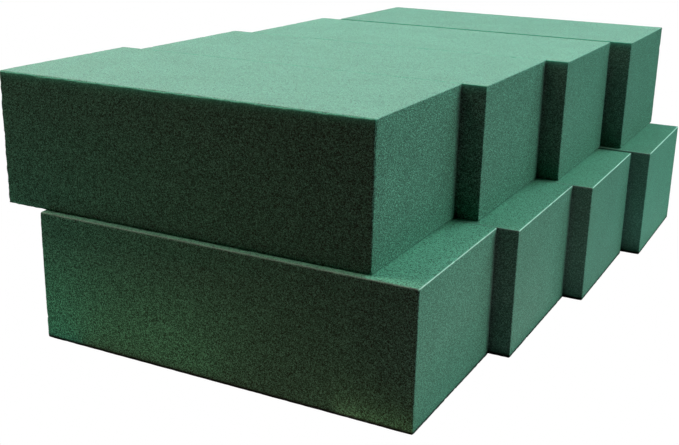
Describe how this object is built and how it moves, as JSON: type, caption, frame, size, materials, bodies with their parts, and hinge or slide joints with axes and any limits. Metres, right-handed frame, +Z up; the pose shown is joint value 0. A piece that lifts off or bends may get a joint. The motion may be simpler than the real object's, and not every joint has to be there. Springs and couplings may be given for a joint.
{
  "type": "floral foam bricks",
  "caption": "Loose rectangular bricks of green floral foam, stacked in staggered layers, for holding and watering cut flower stems.",
  "frame": {"origin": "middle of the base of the stack's bounding box, on the surface that it stands on", "axes": "+Z up; +X along the bricks' length, to the right of the stack's front; +Y from the front row of bricks to the back row"},
  "size_m": [0.294, 0.4366, 0.152],
  "materials": {
    "foam": "matte"
  },
  "bodies": {
    "lower_brick_1": {"lower_brick_1": "foam"},
    "lower_brick_2": {"lower_brick_2": "foam"},
    "lower_brick_3": {"lower_brick_3": "foam"},
    "lower_brick_4": {"lower_brick_4": "foam"},
    "upper_brick_1": {"upper_brick_1": "foam"},
    "upper_brick_2": {"upper_brick_2": "foam"},
    "upper_brick_3": {"upper_brick_3": "foam"},
    "upper_brick_4": {"upper_brick_4": "foam"}
  },
  "joints": [
    {"name": "lower_brick_2_pull", "type": "slide", "parent": "lower_brick_1", "child": "lower_brick_2", "axis": [1, 0, 0], "range_m": [0, 0.27]},
    {"name": "lower_brick_3_pull", "type": "slide", "parent": "lower_brick_1", "child": "lower_brick_3", "axis": [1, 0, 0], "range_m": [0, 0.27]},
    {"name": "lower_brick_4_pull", "type": "slide", "parent": "lower_brick_1", "child": "lower_brick_4", "axis": [1, 0, 0], "range_m": [0, 0.27]},
    {"name": "upper_brick_1_lift", "type": "slide", "parent": "lower_brick_1", "child": "upper_brick_1", "axis": [0, 0, 1], "range_m": [0, 0.1]},
    {"name": "upper_brick_2_lift", "type": "slide", "parent": "lower_brick_2", "child": "upper_brick_2", "axis": [0, 0, 1], "range_m": [0, 0.1]},
    {"name": "upper_brick_3_lift", "type": "slide", "parent": "lower_brick_3", "child": "upper_brick_3", "axis": [0, 0, 1], "range_m": [0, 0.1]},
    {"name": "upper_brick_4_lift", "type": "slide", "parent": "lower_brick_4", "child": "upper_brick_4", "axis": [0, 0, 1], "range_m": [0, 0.1]}
  ]
}
